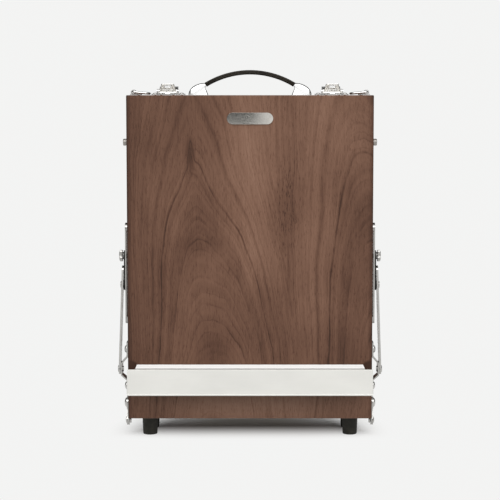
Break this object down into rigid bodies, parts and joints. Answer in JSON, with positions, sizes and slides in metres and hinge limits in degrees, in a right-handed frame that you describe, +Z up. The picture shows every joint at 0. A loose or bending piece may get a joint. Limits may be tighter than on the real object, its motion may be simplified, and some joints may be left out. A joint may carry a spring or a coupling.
{
  "type": "sketch box easel",
  "caption": "Flat upright wooden sketch box that opens as a desk easel, with a hinged front board on side stays, a canvas ledge, draw latches, an arched strap handle and rubber feet.",
  "frame": {"origin": "centre of the bounding box on the surface under the feet", "axes": "+Z up along the height, +Y towards the back panel, the front board and its ledge face -Y, X across the width"},
  "size_m": [0.3374, 0.135, 0.4695],
  "materials": {
    "walnut": "satin oiled walnut, vertical grain",
    "light_wood": "plain sanded birch plywood",
    "foot_rubber": "matte moulded rubber",
    "strap_leather": "dark smooth leather with stitched edges",
    "polished_chrome": "polished",
    "fitting_nickel": "bright nickel plate",
    "stay_steel": "satin nickel-plated steel",
    "slider_black": "satin black",
    "screw_steel": "plated steel",
    "badge_steel": "brushed along its length, blank",
    "ledge_white": "satin white-anodised sheet",
    "turn_brass": "satin"
  },
  "bodies": {
    "tray": {"foot_front_left": "foot_rubber", "foot_front_left_screw": "screw_steel", "foot_front_right": "foot_rubber", "foot_front_right_screw": "screw_steel", "foot_rear_left": "foot_rubber", "foot_rear_left_screw": "screw_steel", "foot_rear_right": "foot_rubber", "foot_rear_right_screw": "screw_steel", "handle_cap_left": "polished_chrome", "handle_cap_right": "polished_chrome", "hinge_tray_leaf_left": "stay_steel", "hinge_tray_leaf_right": "stay_steel", "latch_base_left": "fitting_nickel", "latch_base_right": "fitting_nickel", "ring_lug_left": "fitting_nickel", "ring_lug_right": "fitting_nickel", "stay_rail_left": "stay_steel", "stay_rail_right": "stay_steel", "tray_back_panel": "walnut", "tray_bottom_side": "walnut", "tray_left_side": "walnut", "tray_long_divider": "light_wood", "tray_lower_divider": "light_wood", "tray_right_side": "walnut", "tray_top_side": "walnut", "tray_upper_divider": "light_wood"},
    "lid": {"badge": "badge_steel", "canvas_ledge": "ledge_white", "hinge_lid_leaf_left": "stay_steel", "hinge_lid_leaf_right": "stay_steel", "latch_catch_left": "fitting_nickel", "latch_catch_right": "fitting_nickel", "lid_bottom_side": "walnut", "lid_front_panel": "walnut", "lid_left_side": "walnut", "lid_right_side": "walnut", "lid_top_side": "walnut", "palette": "light_wood", "palette_ledger": "walnut", "side_stud_left": "stay_steel", "side_stud_right": "stay_steel", "stay_bracket_left": "stay_steel", "stay_bracket_right": "stay_steel", "turn_button_block": "walnut"},
    "handle": {"handle_strap": "strap_leather"},
    "palette_button": {"turn_button": "turn_brass"},
    "lever_left": {"latch_lever_left": "fitting_nickel"},
    "loop_left": {"latch_loop_left": "fitting_nickel"},
    "ring_left": {"carry_ring_left": "fitting_nickel"},
    "strut_left": {"stay_strut_left": "stay_steel"},
    "slider_left": {"stay_slider_left": "slider_black"},
    "nut_left": {"stay_knob_left": "stay_steel"},
    "lever_right": {"latch_lever_right": "fitting_nickel"},
    "loop_right": {"latch_loop_right": "fitting_nickel"},
    "ring_right": {"carry_ring_right": "fitting_nickel"},
    "strut_right": {"stay_strut_right": "stay_steel"},
    "slider_right": {"stay_slider_right": "slider_black"},
    "nut_right": {"stay_knob_right": "stay_steel"}
  },
  "joints": [
    {"name": "lid_hinge", "type": "hinge", "parent": "tray", "child": "lid", "pos_m": [0, 0.00065, 0.0206], "axis": [1, 0, 0], "range_deg": [0, 58]},
    {"name": "handle_swing", "type": "hinge", "parent": "tray", "child": "handle", "pos_m": [0, 0.03415, 0.4512], "axis": [1, 0, 0], "range_deg": [-90, 90]},
    {"name": "palette_button_turn", "type": "hinge", "parent": "lid", "child": "palette_button", "pos_m": [0, -0.0105, 0.4233], "axis": [0, 1, 0], "range_deg": [-90, 90]},
    {"name": "latch_lever_left_turn", "type": "hinge", "parent": "tray", "child": "lever_left", "pos_m": [-0.1043, 0.00395, 0.4426], "axis": [1, 0, 0], "range_deg": [0, 75]},
    {"name": "latch_loop_left_turn", "type": "hinge", "parent": "lever_left", "child": "loop_left", "pos_m": [-0.1043, 0.01245, 0.4418], "axis": [-1, 0, 0], "range_deg": [-37, 35]},
    {"name": "carry_ring_left_turn", "type": "hinge", "parent": "tray", "child": "ring_left", "pos_m": [-0.15, 0.03565, 0.4417], "axis": [0, -1, 0], "range_deg": [0, 165]},
    {"name": "strut_left_turn", "type": "hinge", "parent": "lid", "child": "strut_left", "pos_m": [-0.155, -0.01335, 0.0896], "axis": [1, 0, 0], "range_deg": [-91.13, 0]},
    {"name": "slider_left_turn", "type": "hinge", "parent": "strut_left", "child": "slider_left", "pos_m": [-0.155, 0.01215, 0.1946], "axis": [1, 0, 0], "range_deg": [0, 33.13]},
    {"name": "stay_nut_left_turn", "type": "hinge", "parent": "slider_left", "child": "nut_left", "pos_m": [-0.155, 0.01215, 0.2322], "axis": [-1, 0, 0], "range_deg": [0, 360]},
    {"name": "latch_lever_right_turn", "type": "hinge", "parent": "tray", "child": "lever_right", "pos_m": [0.1043, 0.00395, 0.4426], "axis": [1, 0, 0], "range_deg": [0, 75]},
    {"name": "latch_loop_right_turn", "type": "hinge", "parent": "lever_right", "child": "loop_right", "pos_m": [0.1043, 0.01245, 0.4418], "axis": [-1, 0, 0], "range_deg": [-37, 35]},
    {"name": "carry_ring_right_turn", "type": "hinge", "parent": "tray", "child": "ring_right", "pos_m": [0.15, 0.03565, 0.4417], "axis": [0, 1, 0], "range_deg": [0, 165]},
    {"name": "strut_right_turn", "type": "hinge", "parent": "lid", "child": "strut_right", "pos_m": [0.155, -0.01335, 0.0896], "axis": [1, 0, 0], "range_deg": [-91.13, 0]},
    {"name": "slider_right_turn", "type": "hinge", "parent": "strut_right", "child": "slider_right", "pos_m": [0.155, 0.01215, 0.1946], "axis": [1, 0, 0], "range_deg": [0, 33.13]},
    {"name": "stay_nut_right_turn", "type": "hinge", "parent": "slider_right", "child": "nut_right", "pos_m": [0.155, 0.01215, 0.2322], "axis": [1, 0, 0], "range_deg": [0, 360]}
  ],
  "couplings": [
    {"joint": "strut_left_turn", "follows": "lid_hinge", "ratio": -1.5539},
    {"joint": "slider_left_turn", "follows": "lid_hinge", "ratio": 0.55392},
    {"joint": "strut_right_turn", "follows": "lid_hinge", "ratio": -1.5539},
    {"joint": "slider_right_turn", "follows": "lid_hinge", "ratio": 0.55392}
  ]
}
